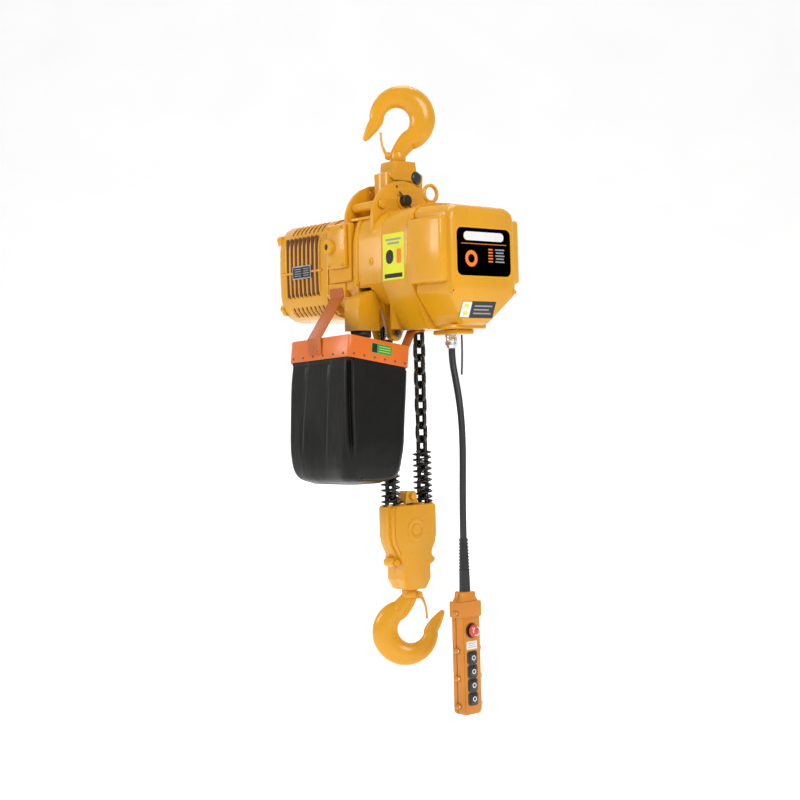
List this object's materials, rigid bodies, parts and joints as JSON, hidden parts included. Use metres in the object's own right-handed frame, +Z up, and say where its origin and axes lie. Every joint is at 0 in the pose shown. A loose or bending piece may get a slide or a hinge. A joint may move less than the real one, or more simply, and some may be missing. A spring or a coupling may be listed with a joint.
{
  "type": "electric chain hoist",
  "caption": "Two-fall electric chain hoist with top hook, finned motor, gear case, control cover, chain bag, hook block with springs and a button pendant on a cable",
  "frame": {"origin": "saddle of the upper hook, where the hoist hangs", "axes": "+Z up along the load line, +X along the body from the motor to the control cover, -Y towards the chain bag"},
  "size_m": [0.5843, 0.3523, 1.3499],
  "materials": {
    "yellow_paint": "gloss",
    "orange_paint": "gloss",
    "black_chain": "black oxide",
    "bright_steel": "bright",
    "dark_steel": "oiled",
    "chrome": "polished",
    "copper": "wound copper",
    "black_rubber": "matte",
    "black_fabric": "coated",
    "black_plastic": "satin",
    "grey_plastic": "satin",
    "yellow_plastic": "satin",
    "red_plastic": "gloss"
  },
  "bodies": {
    "upper_hook": {"upper_hook": "yellow_paint", "upper_hook_nut": "dark_steel"},
    "upper_latch": {"upper_latch": "bright_steel"},
    "top_yoke": {"yoke_front": "yellow_paint", "yoke_rear": "yellow_paint", "yoke_plug": "black_plastic", "upper_thrust_bearing": "bright_steel"},
    "hoist_body": {"suspension_pin": "dark_steel", "stay_bolt": "yellow_paint", "motor_frame": "yellow_paint", "sprocket_case": "yellow_paint", "gear_case": "yellow_paint", "motor_shell": "yellow_paint", "motor_end_cover": "yellow_paint", "junction_cover": "yellow_paint", "control_cover": "yellow_paint", "control_panel": "grey_plastic", "stator": "copper", "brake_coil": "dark_steel", "sprocket_bearing": "bright_steel", "eye_bolt": "yellow_paint", "dead_end_pin": "bright_steel", "chain_guide": "yellow_paint", "chain_exit_rubber": "black_rubber", "gland_plate": "yellow_paint", "cable_gland": "chrome", "bag_rim": "orange_paint", "bag_strap": "orange_paint", "bag_hanger": "orange_paint", "chain_bag": "black_fabric", "chain_dead_upper": "black_chain", "chain_upper_run": "black_chain"},
    "motor_rotor": {"motor_rotor": "bright_steel", "cooling_fan": "black_plastic"},
    "layshaft": {"intermediate_gear": "dark_steel"},
    "load_sprocket": {"load_sprocket": "dark_steel"},
    "hook_block": {"block_front": "yellow_paint", "block_rear": "yellow_paint", "block_bolt_top": "yellow_paint", "block_bolt_near": "yellow_paint", "block_bolt_far": "yellow_paint", "sheave_pin": "yellow_paint", "spring_live": "black_chain", "spring_dead": "black_chain", "chain_lower_run": "black_chain", "lower_thrust_bearing": "bright_steel"},
    "idler_sheave": {"idler_sheave": "dark_steel"},
    "lower_hook": {"lower_hook": "yellow_paint", "lower_hook_nut": "dark_steel"},
    "lower_latch": {"lower_latch": "bright_steel"},
    "pendant": {"pendant_back": "yellow_plastic", "pendant_front": "yellow_plastic", "cable_boot": "black_rubber", "pendant_cable": "black_rubber", "strain_wire": "bright_steel"},
    "button_1": {"button_1": "black_plastic"},
    "button_2": {"button_2": "black_plastic"},
    "button_3": {"button_3": "black_plastic"},
    "button_4": {"button_4": "black_plastic"},
    "emergency_stop": {"emergency_stop": "red_plastic"}
  },
  "joints": [
    {"name": "upper_latch_hinge", "type": "hinge", "parent": "upper_hook", "child": "upper_latch", "pos_m": [-0.01511, -0.018, -0.103], "axis": [-0.766, 0.6428, 0], "range_deg": [0, 25], "stiffness_Nm_per_rad": 0.05, "springref_deg": -34.38},
    {"name": "hook_swivel", "type": "hinge", "parent": "upper_hook", "child": "top_yoke", "pos_m": [0, 0, -0.118], "axis": [0, 0, 1], "continuous": true},
    {"name": "hoist_rock", "type": "hinge", "parent": "top_yoke", "child": "hoist_body", "pos_m": [0, -0.016, -0.207], "axis": [1, 0, 0], "range_deg": [-4, 4]},
    {"name": "lift", "type": "slide", "parent": "hoist_body", "child": "hook_block", "axis": [0, 0, 1], "range_m": [0, 0.3], "deforming": ["spring_live", "spring_dead", "chain_lower_run", "chain_upper_run", "chain_dead_upper"]},
    {"name": "sprocket_turn", "type": "hinge", "parent": "hoist_body", "child": "load_sprocket", "pos_m": [0, 0, -0.35], "axis": [1, 0, 0], "continuous": true},
    {"name": "layshaft_turn", "type": "hinge", "parent": "hoist_body", "child": "layshaft", "pos_m": [0, 0, -0.4], "axis": [1, 0, 0], "continuous": true},
    {"name": "rotor_turn", "type": "hinge", "parent": "hoist_body", "child": "motor_rotor", "pos_m": [0, 0, -0.35], "axis": [1, 0, 0], "continuous": true},
    {"name": "idler_turn", "type": "hinge", "parent": "hook_block", "child": "idler_sheave", "pos_m": [0, 0, -0.92], "axis": [1, 0, 0], "continuous": true},
    {"name": "lower_hook_swivel", "type": "hinge", "parent": "hook_block", "child": "lower_hook", "pos_m": [0, 0, -1.05], "axis": [0, 0, 1], "continuous": true},
    {"name": "lower_latch_hinge", "type": "hinge", "parent": "lower_hook", "child": "lower_latch", "pos_m": [0.01511, 0.018, -1.065], "axis": [-0.766, 0.6428, 0], "range_deg": [0, 25], "stiffness_Nm_per_rad": 0.05, "springref_deg": -34.38},
    {"name": "pendant_swing", "type": "hinge", "parent": "hoist_body", "child": "pendant", "pos_m": [0.16, 0, -0.532], "axis": [1, 0, 0], "range_deg": [-15, 15]},
    {"name": "button_1_press", "type": "slide", "parent": "pendant", "child": "button_1", "axis": [-1, 0, 0], "range_m": [0, 0.004], "stiffness_N_per_m": 300},
    {"name": "button_2_press", "type": "slide", "parent": "pendant", "child": "button_2", "axis": [-1, 0, 0], "range_m": [0, 0.004], "stiffness_N_per_m": 300},
    {"name": "button_3_press", "type": "slide", "parent": "pendant", "child": "button_3", "axis": [-1, 0, 0], "range_m": [0, 0.004], "stiffness_N_per_m": 300},
    {"name": "button_4_press", "type": "slide", "parent": "pendant", "child": "button_4", "axis": [-1, 0, 0], "range_m": [0, 0.004], "stiffness_N_per_m": 300},
    {"name": "emergency_stop_press", "type": "slide", "parent": "pendant", "child": "emergency_stop", "axis": [-1, 0, 0], "range_m": [0, 0.005]}
  ],
  "couplings": [
    {"joint": "sprocket_turn", "follows": "lift", "rad_per_m": 41.888},
    {"joint": "idler_turn", "follows": "lift", "rad_per_m": 20.944},
    {"joint": "layshaft_turn", "follows": "lift", "rad_per_m": -125.66},
    {"joint": "rotor_turn", "follows": "lift", "rad_per_m": 376.99}
  ]
}
